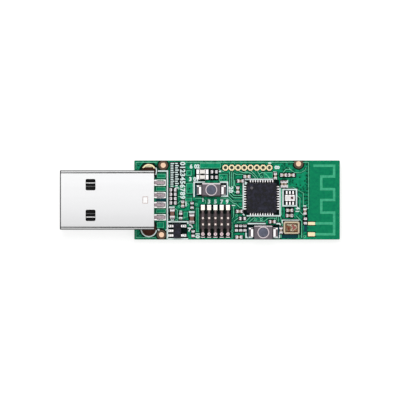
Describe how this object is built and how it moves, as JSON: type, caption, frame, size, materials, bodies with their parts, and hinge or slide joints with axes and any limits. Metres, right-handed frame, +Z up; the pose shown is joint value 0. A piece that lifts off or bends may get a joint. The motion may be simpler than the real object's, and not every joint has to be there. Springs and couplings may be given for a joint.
{
  "type": "smart home usb radio stick",
  "caption": "Bare circuit board radio stick with a plug, a radio chip, two push buttons, a pin header and a printed antenna.",
  "frame": {"origin": "middle of the stick's outline in plan, level with the lowest solder under the board", "axes": "+X from the plug's mouth to the antenna end, +Y across the board towards the row of wire holes, +Z up from the soldered underside to the pieces on the board"},
  "size_m": [0.0566, 0.016, 0.0065],
  "materials": {
    "plug_metal": "nickel plated sheet, satin",
    "insulator_plastic": "moulded, matt",
    "contact_gold": "gold plated",
    "solder_tin": "bright tin",
    "board_mask": "green solder mask, semi gloss",
    "track_mask": "copper under green solder mask",
    "plated_gold": "gold plated",
    "bare_copper": "bare copper",
    "chip_plastic": "moulded, matt",
    "balun_ceramic": "white fired ceramic",
    "crystal_ceramic": "cream fired ceramic",
    "crystal_metal": "polished lid",
    "header_plastic": "moulded, matt",
    "pin_metal": "bright plated",
    "lamp_white": "white",
    "lamp_lens": "clear resin",
    "switch_plastic": "moulded, matt",
    "switch_metal": "bright sheet",
    "dome_metal": "spring steel",
    "plunger_plastic": "moulded, satin",
    "capacitor_brown": "brown fired ceramic",
    "capacitor_beige": "beige fired ceramic",
    "resistor_black": "black glaze"
  },
  "bodies": {
    "stick": {"alignment_marks": "bare_copper", "antenna_match_capacitor": "capacitor_beige", "antenna_match_resistor": "resistor_black", "antenna_pads": "plated_gold", "antenna_track": "track_mask", "balun_body": "balun_ceramic", "balun_capacitors": "capacitor_beige", "balun_terminals": "solder_tin", "chip_bias_resistor": "resistor_black", "chip_bypass_capacitors": "capacitor_beige", "chip_supply_capacitors": "capacitor_beige", "circuit_board": "board_mask", "contact_data_minus": "contact_gold", "contact_data_plus": "contact_gold", "contact_ground": "contact_gold", "contact_power": "contact_gold", "crystal_base": "crystal_ceramic", "crystal_capacitor": "capacitor_beige", "crystal_lid": "crystal_metal", "crystal_seal_ring": "plated_gold", "lamp_1_carrier": "lamp_white", "lamp_1_lens": "lamp_lens", "lamp_2_carrier": "lamp_white", "lamp_2_lens": "lamp_lens", "lamp_resistors": "resistor_black", "lug_solder": "solder_tin", "pin_header_housing": "header_plastic", "pin_header_pins": "pin_metal", "plug_insulator": "insulator_plastic", "plug_shell": "plug_metal", "port_capacitor": "capacitor_beige", "port_resistors": "resistor_black", "pull_up_resistors": "resistor_black", "radio_chip_body": "chip_plastic", "radio_chip_lands": "solder_tin", "regulator_body": "chip_plastic", "regulator_leads": "solder_tin", "reset_capacitor": "capacitor_brown", "solder_pads": "solder_tin", "supply_bypass_capacitor": "capacitor_beige", "supply_capacitor_1": "capacitor_brown", "supply_capacitor_2": "capacitor_brown", "switch_1_base": "switch_plastic", "switch_1_cover": "switch_metal", "switch_1_dome": "dome_metal", "switch_1_terminals": "switch_metal", "switch_2_base": "switch_plastic", "switch_2_cover": "switch_metal", "switch_2_dome": "dome_metal", "switch_2_terminals": "switch_metal", "usb_line_resistors": "resistor_black"},
    "button_1": {"switch_1_plunger": "plunger_plastic"},
    "button_2": {"switch_2_plunger": "plunger_plastic"}
  },
  "joints": [
    {"name": "press_1", "type": "slide", "parent": "stick", "child": "button_1", "axis": [0, 0, -1], "range_m": [0, 0.00025], "stiffness_N_per_m": 400, "deforming": ["switch_1_dome"]},
    {"name": "press_2", "type": "slide", "parent": "stick", "child": "button_2", "axis": [0, 0, -1], "range_m": [0, 0.00025], "stiffness_N_per_m": 400, "deforming": ["switch_2_dome"]}
  ]
}
